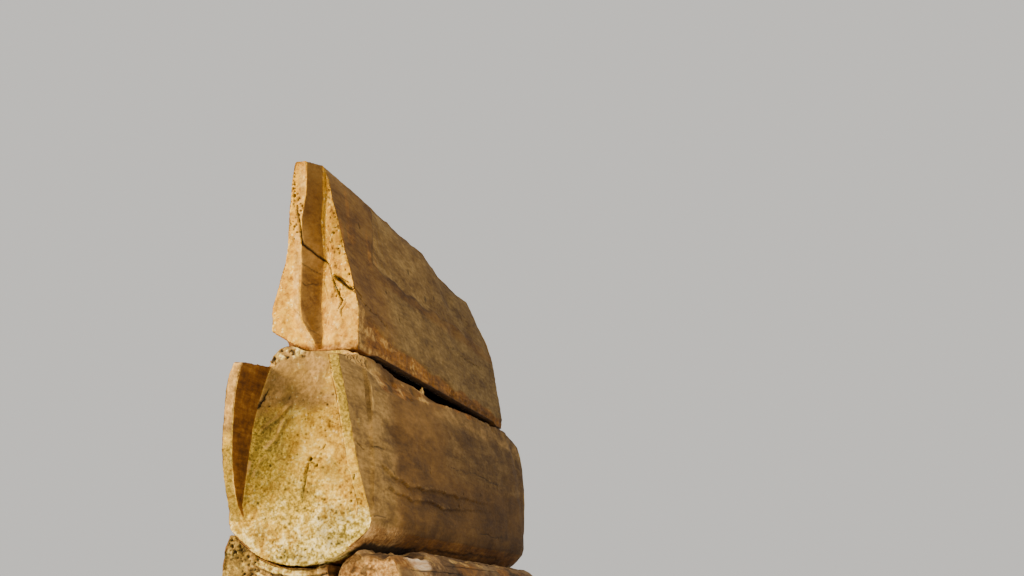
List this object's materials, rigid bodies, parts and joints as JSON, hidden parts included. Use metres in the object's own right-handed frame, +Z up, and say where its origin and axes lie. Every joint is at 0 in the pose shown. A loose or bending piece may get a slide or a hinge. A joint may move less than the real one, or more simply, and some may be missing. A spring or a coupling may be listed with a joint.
{
  "type": "house-shaped wooden burial coffin",
  "caption": "Old house-shaped burial coffin: a hollowed log chest with end cheeks and a steep gabled log lid that lifts off, laid on a hollowed cradle log and a round side log.",
  "frame": {"origin": "on the floor, on the flat underside of the cradle log: X = 0 is the upright middle plane of the chest and lid, Y = 0 the middle of the chest's length", "axes": "+Z up; Y along the coffin, with the pictured leaning gable at -Y; +X to the right as seen from that end, where the side log lies"},
  "size_m": [0.6471, 2.5884, 1.559],
  "materials": {
    "chest_wood": "weathered, lichened end grain, adze-dressed sides",
    "lid_wood": "weathered, wormed, cracked",
    "log_wood": "decayed round log",
    "chip_wood": "pale split wood"
  },
  "bodies": {
    "base": {"chest": "chest_wood", "cradle_log": "log_wood", "side_log": "log_wood", "gap_chip": "chip_wood"},
    "lid": {"lid": "lid_wood"}
  },
  "joints": [
    {"name": "lid_lift", "type": "slide", "parent": "base", "child": "lid", "axis": [0, 0, 1], "range_m": [0, 0.6]}
  ]
}
